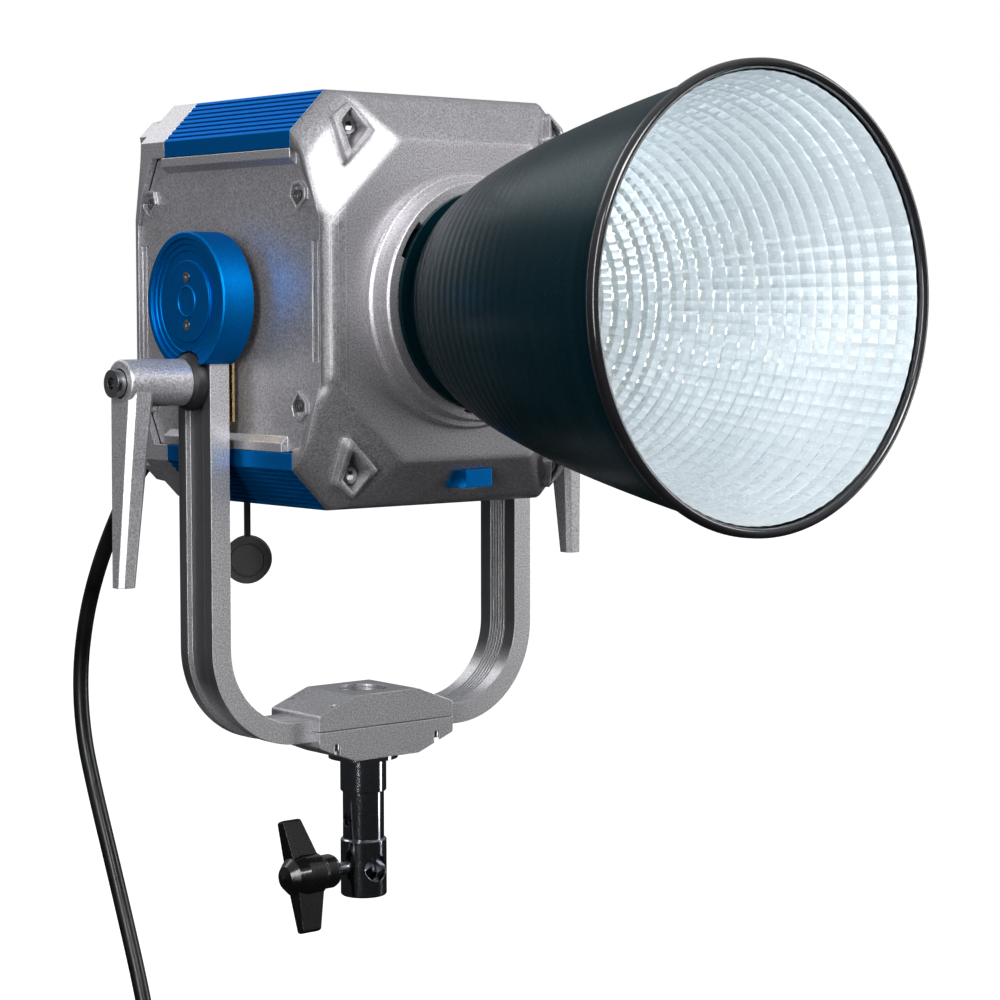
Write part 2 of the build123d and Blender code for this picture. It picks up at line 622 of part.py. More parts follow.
def hub_cover():
    """Left blue cap over the top of the arm, with a stepped face."""
    rim_back = -(ARM_X - ARM_T - 1.8)
    steps = [(0, -HUB_X + 1.2), (8.2, -HUB_X + 1.2), (8.2, -HUB_X + 0.6), (9.2, -HUB_X + 0.6),
             (9.2, -HUB_X + 1.2), (23.5, -HUB_X + 1.2), (23.5, -HUB_X + 2.6),
             (29.5, -HUB_X + 2.6), (29.5, -HUB_X + 2.0), (33, -HUB_X + 2.0),
             (33, -HUB_X + 1.3), (36.4, -HUB_X + 1.3), (36.4, -HUB_X), (HUB_R - 0.8, -HUB_X),
             (HUB_R, -HUB_X + 0.8), (HUB_R, rim_back), (36, rim_back),
             (36, -HUB_X + 4.4), (0, -HUB_X + 4.4)]
    cap = turned_x([(r, x) for r, x in steps])
    cap -= box(-HUB_X - 1, rim_back + 1, -HUB_R - 1, HUB_R + 1, -HUB_R - 1, -36)
    cap -= rod("x", 18.0, -HUB_X - 1, -ARM_X - 0.5, (0, CLAMP_Z))
    cap -= box(-ARM_X - 0.5, rim_back + 1, -ARM_Y - 1, ARM_Y + 1, -HUB_R, 0)
    for z in (-14.0, 14.0):
        cap += rod("x", 4.2, -ARM_X, -HUB_X + 3, (0, z))
        cap -= rod("x", 1.9, -ARM_X + 1, -HUB_X - 1, (0, z))
        cap -= rod("x", 3.3, -HUB_X + 2.2, -HUB_X - 1, (0, z))
    return cap


def yoke_screws():
    """Screws of the hub covers and the four bolts that close the base block."""
    screws = []
    for side in (-1, 1):
        for z in (-14.0, 14.0):
            seat, face = side * (HUB_X - 2.2), side * (HUB_X - 0.9)
            screws.append(cap_screw("x", 3.1, seat, face, (0, z), 2.6)
                          + rod("x", 1.85, side * (ARM_X - 7), seat, (0, z)))
    for spot in BASE_BOLTS:
        screws.append(cap_screw("z", 3.6, BASE_SPLIT - 8, BASE_SPLIT - 12, spot, 3.4)
                      + rod("z", 2.05, BASE_SPLIT - 8.1, BASE_SPLIT + 7, spot))
    return Compound(children=screws)


def brake_plates():
    """Two brass-edged plates of the left tilt brake; the disc turns between them."""
    plates = []
    for outer in (ARM_X - ARM_T - 0.2, ARM_X - ARM_T - 3.9):
        plate = box(-outer, -outer + 1.6, -14.5, 14.5, -70, 0)
        plate += rod("x", 14.5, -outer, -outer + 1.6, (0, -61))
        plate += rod("x", 22, -outer, -outer + 1.6)
        plate -= box(-outer - 1, -outer + 3, -20, 20, -90, -75)
        plate -= rod("x", SHAFT_R + 0.4, -outer - 1, -outer + 3)
        plate -= rod("x", 4.4, -outer - 1, -outer + 3, (0, CLAMP_Z))
        plates.append(plate)
    return both_sides(*plates)


BRAKE_DISC_X = ARM_X - ARM_T - 2.0    # its outer face


def brake_disc():
    return (rod("x", 34, -BRAKE_DISC_X, -BRAKE_DISC_X + 1.7)
            - rod("x", SHAFT_R, -BRAKE_DISC_X - 1, -BRAKE_DISC_X + 3))


def pivot_shaft():
    """Left pivot shaft with its retaining flange."""
    end = -ARM_X - 0.2
    return rod("x", SHAFT_R, -86, end) + rod("x", 9.2, end, end - 0.9)


def pivot_bush():
    return pipe("x", 10.5, SHAFT_R + 0.05, -ARM_X, -ARM_X + ARM_T)


def clamp_bolt():
    """Left clamping bolt with its domed head on the inner side of the brake."""
    inner = -(ARM_X - ARM_T - 5.6)
    head = turned_x([(0, inner + 2.7), (5, inner + 2.5), (9, inner + 1.5), (11, inner + 0.2),
                     (11, inner), (0, inner)], 0, CLAMP_Z)
    return head + rod("x", 4.0, inner + 0.1, -140, (0, CLAMP_Z))


# ---- clamping levers --------------------------------------------------------------------------------
LEVER_IN = 130.2        # inner end of the lever's boss
LEVER_OUT = 171.5       # outer face of its head
LEVER_SEAT = 156.0      # shoulder that the return spring presses on


def lever_collar():
    """Black domed collar with the splined insert that the lever re-indexes on."""
    low = -ARM_X - 0.3
    at = (0, CLAMP_Z)
    dome = turned_x([(4.1, low), (16.4, low), (17.0, low - 2.0), (16.8, low - 4.0),
                     (15.6, low - 6.2), (13.6, -LEVER_IN + 0.3), (4.1, -LEVER_IN + 0.3)],
                    0, CLAMP_Z)
    body = dome + pipe("x", 8.6, 4.1, low + 2.7, low - 0.1, at)
    body += pipe("x", 6.4, 4.1, -LEVER_IN + 0.4, -140.3, at)
    body += pipe("x", 6.4, 2.5, -140.2, -147.9, at)
    for k in range(8):
        spline = Rot(45 * k, 0, 0) * box(-147.9, -LEVER_IN + 0.4, -0.8, 0.8, 6.0, 7.0)
        body += Pos(0, 0, CLAMP_Z) * spline
    return body


def lever_screw():
    at = (0, CLAMP_Z)
    head = cap_screw("x", 8.0, -168.2, -177.0, at, 7.0)
    return head + rod("x", 2.5, -140.4, -168.3, at)


def lever_spring():
    path = Helix(2.7, 11.0, 5.2, direction=(-1, 0, 0))
    section = Plane(origin=path @ 0, z_dir=path % 0) * Circle(0.5)
    return Pos(-LEVER_SEAT - 0.7, 0, CLAMP_Z) * sweep(section, path=path)


def lever_section(x0, x1, half, cut, z):
    points = [(x0, -half + cut), (x0, half - cut), (x0 + cut, half), (x1 - cut, half),
              (x1, half - cut), (x1, -half + cut), (x1 - cut, -half), (x0 + cut, -half)]
    return make_face(Polyline(*[(x, y, z) for x, y in points], close=True))


def lever():
    """Left clamping lever: a boss along the bolt and a tapered handle hanging from its head."""
    at = (0, CLAMP_Z)
    head = rod("x", 13.6, -LEVER_IN, -LEVER_OUT, at)
    rims = [e for e in head.edges().filter_by(GeomType.CIRCLE) if e.center().X < -160]
    head = fillet(rims, 1.6)
    handle = loft([lever_section(-171.0, -154.5, 13.2, 3.4, CLAMP_Z + 1),
                   lever_section(-175.8, -164.4, 5.6, 2.6, -163.5)])
    body = head + handle
    body -= rod("x", 7.4, -LEVER_IN + 1, -152, at)
    body -= rod("x", 3.2, -150, -LEVER_SEAT - 1, at)
    return body - rod("x", 8.7, -LEVER_SEAT, -LEVER_OUT - 6, at)


# ---- stand spigot, knob ---------------------------------------------------------------------------
FLANGE_Z = 85.8
BLOCK_BOTTOM = PIVOT_Z + BASE_BOTTOM


def spigot():
    profile = [(0, 0), (PIN_R - 0.8, 0), (PIN_R, 0.8), (PIN_R, 34.8), (PIN_R - 0.8, 35.6),
               (PIN_NECK_R, 35.6), (PIN_NECK_R, 65), (PIN_R - 0.8, 65), (PIN_R, 65.8),
               (PIN_R, FLANGE_Z), (21.5, FLANGE_Z), (21.5, BLOCK_BOTTOM), (8.2, BLOCK_BOTTOM),
               (8.2, 127), (0, 127)]
    face = make_face(Polyline(*[(r, 0, z) for r, z in profile], close=True))
    body = revolve(face, Axis.Z)
    body -= rod("z", SOCKET_R, -1, SOCKET_DEPTH)
    body -= rod("y", 8.0, -PIN_R - 1, PIN_R + 1, (0, KNOB_Z))
    body -= rod("x", 4.3, -PIN_R - 1, 0, (0, KNOB_Z))
    return body - rod("x", 4.2, -PIN_R - 1, 0, (0, 48))


def spigot_nut():
    low = PIVOT_Z + BASE_TOP - 9
    return hex_rod("z", 24, low, low + 7) - rod("z", 8.25, low - 1, low + 8)


PAD_TIP = -SOCKET_R - PAD_CLEAR


def pressure_pad():
    """Brass pad that bears on the stand's stud, with a stem that slides in the screw."""
    return rod("x", 3.6, PAD_TIP, PAD_TIP - 2.4, (0, KNOB_Z)) + rod(
        "x", 1.6, PAD_TIP - 2.3, PAD_TIP - 9, (0, KNOB_Z))


def knob_screw():
    low = PAD_TIP - 2.7
    return rod("x", 4.0, low, -40, (0, KNOB_Z)) - rod("x", 1.95, low + 1, low - 9, (0, KNOB_Z))


def wing_knob():
    """Two-winged knob; the wings lean 18 degrees from upright at rest."""
    hub = turned_x([(4.0, -24), (9.5, -24), (10.4, -26), (10.4, -33), (12.6, -36), (13, -48),
                    (11.2, -55), (7, -59.5), (0, -61), (0, -40), (4.0, -40)])
    wing = loft([Plane(origin=(-45, 0, 8), z_dir=(0, 0, 1)) * Rectangle(19, 11),
                 Plane(origin=(-49, 0, 34.5), z_dir=(0, 0, 1)) * Rectangle(13, 6)])
    wing = fillet([e for e in wing.edges() if e.center().Z > 34], 1.8)
    wings = wing + Rot(180, 0, 0) * wing
    wings -= rod("x", 9, -20, -56)
    return Pos(0, 0, KNOB_Z) * Rot(-18, 0, 0) * (hub + (wings - hub))


# ---- head cable -------------------------------------------------------------------------------------
def cable_plug():
    at = (CABLE_X, SOCKET_Z)
    body = pipe("y", 9.4, 7.0, REAR_FACE - 2, REAR_FACE + 18, at)
    body += rod("y", 11.0, REAR_FACE + 17, REAR_FACE + 54, at)
    return body + rod("y", 9.6, REAR_FACE - 2, REAR_FACE + 2, at) - rod(
        "y", 9.2, REAR_FACE - 3, REAR_FACE - 2.5, at)


def plug_ring():
    """Knurled coupling ring of the plug."""
    at = (CABLE_X, SOCKET_Z)
    ring = pipe("y", 15.0, 12.4, REAR_FACE + 5.2, REAR_FACE + 31, at)
    for k in range(24):
        a = radians(15 * k)
        ring -= rod("y", 0.8, REAR_FACE + 8, REAR_FACE + 28,
                    (at[0] + 15.2 * cos(a), at[1] + 15.2 * sin(a)))
    return ring


def cable_boot():
    """Tapered strain relief behind the plug."""
    start, end = REAR_FACE + 54, CABLE_ROUTE[0][0]
    profile = [(0, start), (9.5, start), (9.5, start + 4), (7.0, end), (0, end)]
    return Pos(CABLE_X, 0, SOCKET_Z) * turned_y(profile)


def route_radii(points):
    """Largest arc at each inner point: 0.45 of the shorter run over the tangent of half the turn."""
    radii = []
    for (ay, az), (by, bz), (cy, cz) in zip(points, points[1:], points[2:]):
        shorter = min(hypot(by - ay, bz - az), hypot(cy - by, cz - bz))
        turn = atan2(cz - bz, cy - by) - atan2(bz - az, by - ay)
        turn = abs((turn + pi) % (2 * pi) - pi)
        radii.append(0.45 * shorter / tan(turn / 2))
    return radii


def power_cable():
    radii = route_radii(CABLE_ROUTE)
    print("cable radii", [round(r) for r in radii])
    path = FilletPolyline(*[(CABLE_X, y, z) for y, z in CABLE_ROUTE], radius=radii)
    section = Plane(origin=path @ 0, z_dir=path % 0) * Circle(CABLE_R)
    tube = sweep(section, path=path)
    print("cable length", round(path.length, 1), "volume ratio",
          round(tube.volume / (pi * CABLE_R**2 * path.length), 4))
    return tube


def cable_coil():
    """Outer shape of the wound cable, with the rounded sides of its turns."""
    ring = pipe("x", COIL_OUT, COIL_IN, COIL_X - COIL_HALF, COIL_X + COIL_HALF, (COIL_Y, COIL_Z))
    return fillet(ring.edges().filter_by(GeomType.CIRCLE), 4.5)


def coil_strap():
    """Hook-and-loop tie round the coil's turns."""
    half, low, high = COIL_HALF + 0.3, COIL_IN - 1.6, COIL_OUT + 0.3
    band = box(-half - 1.6, half + 1.6, low - 1.6, high + 1.6, -10, 10)
    band = fillet(band.edges().filter_by(Axis.Z), 5.5)
    hole = fillet(box(-half, half, low, high, -11, 11).edges().filter_by(Axis.Z), 4.2)
    return Pos(COIL_X, COIL_Y, COIL_Z) * Rot(140, 0, 0) * (band - hole)


FAR_X = COIL_X - 10.7
FAR_Y = COIL_Y + 63.2


def far_plug():
    """Connector on the power-supply end of the cable, open end down, with its tapered boot."""
    top = COIL_Z - 41.0
    profile = [(0, top), (6.6, top), (8.4, top - 16), (8.4, top - 20), (11, top - 22),
               (11, top - 42), (14, top - 43), (14, top - 68), (12.4, top - 70),
               (12.4, top - 58), (8.6, top - 58), (8.6, top - 70), (0, top - 70)]
    face = make_face(Polyline(*[(r, 0, z) for r, z in profile], close=True))
    return Pos(FAR_X, FAR_Y, 0) * revolve(face, Axis.Z)


# ---- dust cap ---------------------------------------------------------------------------------------
ANCHOR_Y = REAR_FACE + 2.6
STRAP_Y = ANCHOR_Y + 2.4
CAP_TOP = SOCKET_Z - 17.5


def strap_anchor():
    """Rubber loop round the inlet's barrel that the dust cap hangs from."""
    loop = pipe("y", 15.5, 12.1, ANCHOR_Y, ANCHOR_Y + 2, (CABLE_X, SOCKET_Z))
    return loop + box(CABLE_X - 3, CABLE_X + 3, ANCHOR_Y, ANCHOR_Y + 2, CAP_TOP - 1, SOCKET_Z - 14)


def dust_cap():
    """Round cap on a flat strap, turned to face the front left, with a moulded ring."""
    strap = box(CABLE_X - 2, CABLE_X + 2, STRAP_Y, STRAP_Y + 1.8, CAP_TOP - 39, CAP_TOP)
    strap += rod("x", 0.9, CABLE_X - 2, CABLE_X + 2, (STRAP_Y + 0.9, CAP_TOP))
    disc = rod("y", 15.2, -6, 6) - rod("y", 12.6, -3.5, 7) + pipe("y", 11, 10.2, -6.5, -5.5)
    return strap + Pos(CABLE_X, STRAP_Y + 0.9, CAP_TOP - 53) * Rot(0, 0, -40) * disc


# ---- write every piece ------------------------------------------------------------------------------
PIECES = [front_bezel, rear_bezel, head_screws, tie_rods, rear_grille, mount_ring, bayonet_plate,
          trim_ring, cover_glass, heat_sink, heat_pipes, cob_led, cob_holder, fan_frame, fan_rotor,
          driver_board, panel_socket, release_latch, latch_slider, latch_spring, reflector_bell,
          reflector_collar, yoke_arch, yoke_screws, brake_plates, cable_plug, plug_ring,
          cable_boot, power_cable, cable_coil, coil_strap, far_plug, strap_anchor, dust_cap]
STAND_PIECES = [spigot, spigot_nut, pressure_pad, knob_screw, wing_knob]
MIRRORED = [side_cover, hub_cover, lever_collar, lever_screw, lever_spring, lever]
GROUPS = {"pivot_blocks": pivot_block, "pivot_shafts": pivot_shaft, "pivot_bushes": pivot_bush,
          "brake_discs": brake_disc, "clamp_bolts": clamp_bolt}

for piece in PIECES:
    save_head(piece.__name__, piece())
for piece in STAND_PIECES:
    save(piece.__name__, piece())
for piece in MIRRORED:
    save_pair(piece.__name__, piece())
for name, piece in GROUPS.items():
    save_head(name, both_sides(piece()))
save_head("top_shell", shell(1))
save_head("bottom_shell", shell(-1))
save_head("base_upper", base_half(1))
save_head("base_lower", base_half(-1))
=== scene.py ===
import math
import bpy
import json
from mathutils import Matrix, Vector


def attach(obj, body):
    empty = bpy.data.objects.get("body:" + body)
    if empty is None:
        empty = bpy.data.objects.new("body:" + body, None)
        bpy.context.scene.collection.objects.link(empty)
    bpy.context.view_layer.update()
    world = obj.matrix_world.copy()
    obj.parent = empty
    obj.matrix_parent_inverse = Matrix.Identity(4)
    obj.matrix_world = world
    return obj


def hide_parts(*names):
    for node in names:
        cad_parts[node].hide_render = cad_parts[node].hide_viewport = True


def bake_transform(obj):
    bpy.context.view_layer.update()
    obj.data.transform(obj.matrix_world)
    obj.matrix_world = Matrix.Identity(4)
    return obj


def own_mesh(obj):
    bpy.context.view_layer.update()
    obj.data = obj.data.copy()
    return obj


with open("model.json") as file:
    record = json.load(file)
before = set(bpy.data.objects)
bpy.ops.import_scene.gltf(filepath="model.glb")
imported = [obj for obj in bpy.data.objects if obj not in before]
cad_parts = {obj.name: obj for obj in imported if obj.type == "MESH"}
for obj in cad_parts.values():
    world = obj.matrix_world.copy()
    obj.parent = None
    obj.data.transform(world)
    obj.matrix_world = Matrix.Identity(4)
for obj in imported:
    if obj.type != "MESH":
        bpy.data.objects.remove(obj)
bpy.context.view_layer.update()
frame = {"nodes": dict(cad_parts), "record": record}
nodes = frame["nodes"]
BEAM_Z = 0.366          # height of the beam and of the tilt axis


# ---- camera: front left of the lamp, at the height of the beam --------------------------------------
lens = bpy.data.cameras.new("camera")
lens.lens = 92.83
lens.sensor_width = 36.0
camera = bpy.data.objects.new("camera", lens)
bpy.context.scene.collection.objects.link(camera)
camera.location = (-0.94598, -1.26445, 0.36130)
camera.rotation_euler = (math.radians(85.77), math.radians(0.06), math.radians(-39.88))
bpy.context.scene.camera = camera


# ---- materials ----------------------------------------------------------------------------------
EDGE_BAND_PAINT = 0.0007   # radius of the lighter edge band on paint: rubbed paint and painted highlight
EDGE_BAND_PLASTIC = 0.0005
EDGE_METAL = 0.0003     # radius that rounds the edges of bare metal
# light silver of the edge band: rubbed paint and painted highlight
WORN_AND_HIGHLIGHT_SILVER = (0.95, 0.95, 0.96)


class Nodes:
    """Small helper around one material's node tree."""

    def __init__(self, name):
        self.material = bpy.data.materials.new(name)
        self.material.use_nodes = True
        self.tree = self.material.node_tree
        self.shader = self.tree.nodes["Principled BSDF"]
        self.coord = self.tree.nodes.new("ShaderNodeTexCoord").outputs["Object"]

    def new(self, kind, **values):
        node = self.tree.nodes.new(kind)
        for key, value in values.items():
            if key in node.inputs:
                node.inputs[key].default_value = value
            else:
                setattr(node, key, value)
        return node

    def link(self, a, b):
        self.tree.links.new(a, b)

    def noise(self, scale, detail=2.0, rough=0.5, stretch=None):
        node = self.new("ShaderNodeTexNoise")
        node.inputs["Scale"].default_value = scale
        node.inputs["Detail"].default_value = detail
        node.inputs["Roughness"].default_value = rough
        if stretch:
            mapping = self.new("ShaderNodeMapping")
            mapping.inputs["Scale"].default_value = stretch
            self.link(self.coord, mapping.inputs["Vector"])
            self.link(mapping.outputs["Vector"], node.inputs["Vector"])
        else:
            self.link(self.coord, node.inputs["Vector"])
        return node.outputs["Fac"]

    def ramp(self, fac, low, high, a, b):
        node = self.new("ShaderNodeMapRange")
        node.inputs["From Min"].default_value = low
        node.inputs["From Max"].default_value = high
        node.inputs["To Min"].default_value = a
        node.inputs["To Max"].default_value = b
        self.link(fac, node.inputs["Value"])
        return node.outputs["Result"]

    def mix(self, fac, a, b):
        node = self.new("ShaderNodeMix", data_type="RGBA")
        self.link(fac, node.inputs["Factor"])
        for socket, value in ((node.inputs[6], a), (node.inputs[7], b)):
            if isinstance(value, tuple):
                socket.default_value = (*value, 1.0)
            else:
                self.link(value, socket)
        return node.outputs[2]

    def edges(self, radius):
        """1 along sharp edges and 0 on the flats, with the rounded normal that found them."""
        bevel = self.new("ShaderNodeBevel", samples=6)
        bevel.inputs["Radius"].default_value = radius
        geometry = self.new("ShaderNodeNewGeometry")
        dot = self.new("ShaderNodeVectorMath", operation="DOT_PRODUCT")
        self.link(bevel.outputs["Normal"], dot.inputs[0])
        self.link(geometry.outputs["Normal"], dot.inputs[1])
        return self.ramp(dot.outputs["Value"], 0.995, 0.86, 0.0, 1.0), bevel.outputs["Normal"]

    def bump(self, height, strength, distance, normal=None):
        node = self.new("ShaderNodeBump")
        node.inputs["Strength"].default_value = strength
        node.inputs["Distance"].default_value = distance
        self.link(height, node.inputs["Height"])
        if normal:
            self.link(normal, node.inputs["Normal"])
        return node.outputs["Normal"]


def painted(name, colour, worn_and_highlight, metallic, rough, depth=0.0001, spread=0.30,
            grazing=(1.0, 1.0, 1.0), painted_shade_flanks=None, soft=None):
    """Sand-textured metallic paint: grain, flakes, slow tone changes and lighter edges, partly rubbed
    paint and partly painted highlight.
    A sideways tone, if given, is a painted shade on faces that look along x, and soft the radius of a
    casting's creases."""
    m = Nodes(name)
    dark = tuple(c * (1 - spread) for c in colour)
    light = tuple(min(1.0, c * (1 + spread)) for c in colour)
    fine = m.noise(1000.0, 3.0, 0.65)
    tone = m.mix(m.ramp(fine, 0.40, 0.60, 0.0, 1.0), dark, light)
    clouds = m.noise(22.0, 3.0)
    tone = m.mix(m.ramp(clouds, 0.3, 0.7, 0.0, 0.22), tone, dark)
    # painted shade: faces that look sideways along x get the darker tone
    if painted_shade_flanks:
        facing = m.new("ShaderNodeTexCoord")
        split = m.new("ShaderNodeSeparateXYZ")
        m.link(facing.outputs["Normal"], split.inputs[0])
        sideways = m.new("ShaderNodeMath", operation="ABSOLUTE")
        m.link(split.outputs["X"], sideways.inputs[0])
        tone = m.mix(m.ramp(sideways.outputs[0], 0.75, 0.95, 0.0, 1.0), tone, painted_shade_flanks)
    # lighter edge band: partly rubbed paint, partly a painted highlight along the edges
    mask, rounded = m.edges(EDGE_BAND_PAINT)
    if soft:
        rounded = m.edges(soft)[1]
    patchy_edge = m.noise(160.0, 4.0, 0.7)
    mixed = m.new("ShaderNodeMath", operation="MULTIPLY")
    m.link(mask, mixed.inputs[0])
    m.link(m.ramp(patchy_edge, 0.35, 0.6, 0.55, 1.0), mixed.inputs[1])
    m.link(m.mix(mixed.outputs[0], tone, worn_and_highlight), m.shader.inputs["Base Color"])
    m.shader.inputs["Metallic"].default_value = metallic
    m.shader.inputs["Specular Tint"].default_value = (*grazing, 1)
    m.link(m.ramp(fine, 0.3, 0.7, rough - 0.08, rough + 0.1), m.shader.inputs["Roughness"])
    m.link(m.bump(fine, 0.55, depth, rounded), m.shader.inputs["Normal"])
    return m.material


def plain_metal(name, colour, rough, brushed=None, scratch=0.12):
    """Bare or plated metal with fine marks."""
    m = Nodes(name)
    dark = tuple(c * (1 - scratch) for c in colour)
    marks = m.noise(420.0, 5.0, 0.7, brushed)
    m.link(m.mix(m.ramp(marks, 0.35, 0.65, 0.0, 1.0), dark, colour), m.shader.inputs["Base Color"])
    m.shader.inputs["Metallic"].default_value = 1.0
    m.link(m.ramp(marks, 0.3, 0.7, rough * 0.7, rough * 1.35), m.shader.inputs["Roughness"])
    rounded = m.edges(EDGE_METAL)[1]
    m.link(m.bump(marks, 0.12, 0.00003, rounded), m.shader.inputs["Normal"])
    return m.material


def moulded(name, colour, worn_and_highlight, rough, coat=0.0, depth=0.00003):
    """Moulded plastic or rubber with a fine spark-eroded grain."""
    m = Nodes(name)
    fine = m.noise(900.0, 2.0, 0.6)
    clouds = m.noise(60.0, 3.0)
    lighter = tuple(min(1.0, c * 1.5 + 0.004) for c in colour)
    tone = m.mix(m.ramp(clouds, 0.35, 0.7, 0.0, 0.6), colour, lighter)
    # lighter edge band: rubbed plastic, and on the rim bead a painted highlight
    mask, rounded = m.edges(EDGE_BAND_PLASTIC)
    fade = m.ramp(mask, 0.0, 1.0, 0.0, 0.45)
    m.link(m.mix(fade, tone, worn_and_highlight), m.shader.inputs["Base Color"])
    m.link(m.ramp(fine, 0.3, 0.7, rough - 0.06, rough + 0.08), m.shader.inputs["Roughness"])
    m.shader.inputs["Coat Weight"].default_value = coat
    m.shader.inputs["Coat Roughness"].default_value = 0.08
    m.link(m.bump(fine, 0.35, depth, rounded), m.shader.inputs["Normal"])
    return m.material


silver = painted("silver_paint", (0.50, 0.485, 0.51), WORN_AND_HIGHLIGHT_SILVER, 0.70, 0.38)
# yoke: a lighter copy of the same silver paint, painted light where the head shades it from the key
silver_arm = painted("silver_arm_painted_light", (0.60, 0.59, 0.61), WORN_AND_HIGHLIGHT_SILVER, 0.70, 0.36)
# yoke arch: a lighter copy still (painted light), with a painted shade on its sideways faces
arch = painted("yoke_arch_painted_light_and_shade", (0.64, 0.63, 0.65), WORN_AND_HIGHLIGHT_SILVER, 0.70, 0.36,
               painted_shade_flanks=(0.14, 0.14, 0.145))
# front bezel: a darker copy of the same silver paint, painted shade on the front face
front = painted("front_bezel_painted_shade", (0.41, 0.398, 0.42), WORN_AND_HIGHLIGHT_SILVER, 0.70, 0.40,
                soft=0.007)
blue = painted("blue_paint", (0.0, 0.17, 0.54), (0.0, 0.30, 0.72), 0.88, 0.45, depth=0.00005,
               spread=0.12, grazing=(0.05, 0.40, 0.75))
black = painted("black_paint", (0.018, 0.018, 0.02), (0.12, 0.12, 0.12), 0.2, 0.45)
black_steel = plain_metal("screw_steel", (0.42, 0.42, 0.43), 0.20)
zinc = plain_metal("zinc_steel", (0.62, 0.63, 0.65), 0.3)
spring = plain_metal("spring_steel", (0.6, 0.6, 0.6), 0.25)
brass = plain_metal("brass", (0.78, 0.60, 0.30), 0.28)
copper = plain_metal("copper", (0.85, 0.42, 0.28), 0.3)
cast = plain_metal("machined_aluminium", (0.68, 0.69, 0.70), 0.35, brushed=(1, 1, 8))
chrome = plain_metal("dark_chrome", (0.44, 0.45, 0.50), 0.10, scratch=0.15)
plastic = moulded("black_plastic", (0.006, 0.006, 0.0065), (0.05, 0.05, 0.05), 0.36)
gloss = moulded("gloss_black_plastic", (0.002, 0.002, 0.002), (0.02, 0.02, 0.02), 0.22, coat=0.4,
                depth=0.00001)
rubber = moulded("black_rubber", (0.006, 0.006, 0.006), (0.04, 0.04, 0.04), 0.42)
pad = moulded("friction_pad", (0.05, 0.035, 0.025), (0.10, 0.08, 0.06), 0.8, depth=0.0001)
board = moulded("board", (0.01, 0.13, 0.06), (0.1, 0.3, 0.2), 0.4)
blue_plastic = moulded("blue_plastic", (0.0, 0.09, 0.36), (0.05, 0.25, 0.6), 0.35, coat=0.2)
ceramic = moulded("white_ceramic", (0.75, 0.75, 0.72), (0.85, 0.85, 0.83), 0.5)


def glass_material():
    """Clear cover glass with a faint haze."""
    m = Nodes("cover_glass")
    specks = m.noise(300.0, 2.0)
    m.shader.inputs["Base Color"].default_value = (0.95, 0.98, 0.98, 1)
    m.link(m.ramp(specks, 0.3, 0.8, 0.02, 0.09), m.shader.inputs["Roughness"])
    m.shader.inputs["Transmission Weight"].default_value = 1.0
    m.shader.inputs["IOR"].default_value = 1.45
    return m.material


def led_material():
    """Lit phosphor over a grid of small emitters."""
    m = Nodes("led_phosphor")
    cells = m.new("ShaderNodeTexVoronoi", Scale=900.0)
    m.link(m.coord, cells.inputs["Vector"])
    fac = m.ramp(cells.outputs["Distance"], 0.0, 0.8, 0.0, 1.0)
    m.link(m.mix(fac, (0.95, 0.82, 0.3), (0.7, 0.5, 0.1)), m.shader.inputs["Base Color"])
    m.shader.inputs["Roughness"].default_value = 0.6
    m.shader.inputs["Emission Color"].default_value = (0.92, 0.97, 1.0, 1)
    m.shader.inputs["Emission Strength"].default_value = 30.0
    return m.material


glass = glass_material()
led = led_material()
FINISH = {
    "silver_paint": silver, "blue_coat": blue, "black_paint": black,
    "black_oxide_steel": black_steel, "zinc_steel": zinc, "spring_steel": spring,
    "cast_aluminium": cast, "cover_glass": glass, "led_phosphor": led, "copper": copper,
    "brass": brass, "board_green": board, "black_plastic": plastic,
    "gloss_black_plastic": gloss, "yoke_paint": silver_arm, "dark_chrome": chrome,
    "black_rubber": rubber, "friction_pad": pad, "blue_plastic": blue_plastic,
    "white_ceramic": ceramic, "reflector_aluminium": cast,
}
for part in frame["record"]["subparts"]:
    mesh = nodes[part["node"]].data
    mesh.materials.clear()
    mesh.materials.append(FINISH[part["material_slot"]])
nodes["yoke_arch"].data.materials[0] = arch
nodes["front_bezel"].data.materials[0] = front


# ---- mesh helpers -------------------------------------------------------------------------------
def add_mesh(name, points, faces, materials, indices=None, smooth=True):
    """New object of these points and faces; indices picks a material for each face."""
    mesh = bpy.data.meshes.new(name)
    mesh.from_pydata([tuple(p) for p in points], [], faces)
    for material in materials:
        mesh.materials.append(material)
    if indices:
        mesh.polygons.foreach_set("material_index", indices)
    mesh.polygons.foreach_set("use_smooth", [smooth] * len(mesh.polygons))
    mesh.update()
    piece = bpy.data.objects.new(name, mesh)
    bpy.context.scene.collection.objects.link(piece)
    return piece


def strips(rows, sides):
    """Faces that join closed rows of points, each with its sides."""
    faces = []
    for i in range(rows - 1):
        here, above = i * sides, (i + 1) * sides
        for k in range(sides):
            n = (k + 1) % sides
            faces.append((here + k, here + n, above + n, above + k))
    return faces


# ---- head cable: a hanging stretch and the rest wound into a tied coil ------------------------------
CABLE_X = -0.014
CABLE_D = 0.011
ROUTE = [
    (0.168, 0.272), (0.200, 0.272), (0.232, 0.2545), (0.261, 0.221), (0.286, 0.186),
    (0.305, 0.148), (0.315, 0.105), (0.3115, 0.062), (0.2955, 0.022), (0.276, -0.020),
    (0.2575, -0.061), (0.2405, -0.100), (0.227, -0.138), (0.222, -0.162),
]
COIL_X, COIL_Y, COIL_Z = 0.0086, 0.170, -0.199
COIL_R = 0.052          # of the inner turns
COIL_HALF = 0.0226      # half the width of four turns, to the outer centrelines
LAYER = 0.0112          # from the inner turns to those over them
PITCH = 0.0113          # from one turn to the next
BACK = 4.15             # turn at which the cable starts back over the first four
COIL_STEPS = 16
COIL_TURNS = 7


